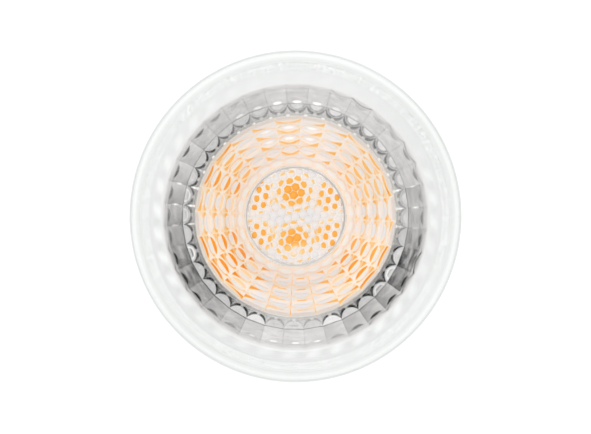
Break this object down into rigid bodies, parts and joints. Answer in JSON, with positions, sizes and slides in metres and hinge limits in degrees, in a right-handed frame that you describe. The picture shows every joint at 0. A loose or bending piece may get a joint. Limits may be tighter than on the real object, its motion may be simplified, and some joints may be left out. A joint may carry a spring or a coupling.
{
  "type": "gu10 spotlight bulb",
  "caption": "Reflector spotlight bulb with a clear pressed glass body, a faceted collimator lens over a group of light sources, and a two-stud bayonet base.",
  "frame": {"origin": "centre of the base's flat seating face, between the two studs", "axes": "+Z along the optical axis, out of the face; +X through both studs"},
  "size_m": [0.05, 0.05, 0.0535],
  "materials": {
    "clear_glass": "clear pressed glass, bright and smooth",
    "clear_lens": "clear moulded acrylic, polished",
    "lens_glue": "cured clear silicone",
    "board_white": "white solder mask on an aluminium core",
    "led_body": "white moulded package",
    "phosphor": "amber silicone over the chips",
    "pad_grey": "soft thermal pad",
    "sink_metal": "drawn aluminium, satin",
    "screw_steel": "bright zinc",
    "base_plastic": "white moulded plastic, semi-gloss",
    "cement": "off-white cement",
    "stud_metal": "nickel-plated brass, satin",
    "board_green": "green glass-fibre board",
    "can_sleeve": "black shrink sleeve over an aluminium can",
    "film_box": "yellow moulded box",
    "ferrite": "dark grey ferrite",
    "copper": "enamelled copper wire",
    "chip_black": "black moulded epoxy",
    "resistor_coat": "matt green lacquer",
    "varistor_coat": "blue epoxy lacquer",
    "lead_red": "red silicone insulation",
    "lead_black": "black silicone insulation",
    "tinned_wire": "tinned copper, bright"
  },
  "bodies": {
    "root": {"glass_body": "clear_glass", "collimator_lens": "clear_lens", "lens_bead": "lens_glue", "led_board": "board_white", "led_package_1": "led_body", "led_package_2": "led_body", "led_package_3": "led_body", "led_package_4": "led_body", "led_package_5": "led_body", "led_package_6": "led_body", "led_phosphor_1": "phosphor", "led_phosphor_2": "phosphor", "led_phosphor_3": "phosphor", "led_phosphor_4": "phosphor", "led_phosphor_5": "phosphor", "led_phosphor_6": "phosphor", "thermal_pad": "pad_grey", "heat_sink": "sink_metal", "board_screw_1": "screw_steel", "board_screw_2": "screw_steel", "base_housing": "base_plastic", "base_cement": "cement", "driver_board": "board_green", "bulk_capacitor": "can_sleeve", "film_capacitor": "film_box", "choke_core": "ferrite", "choke_winding": "copper", "driver_chip": "chip_black", "bridge_rectifier": "chip_black", "fuse_resistor": "resistor_coat", "varistor": "varistor_coat", "contact_stud_1": "stud_metal", "contact_stud_2": "stud_metal", "stud_lead_1": "tinned_wire", "stud_lead_2": "tinned_wire", "led_lead_1": "lead_red", "led_lead_2": "lead_black", "solder_dome_1": "tinned_wire", "solder_dome_2": "tinned_wire"}
  },
  "joints": []
}
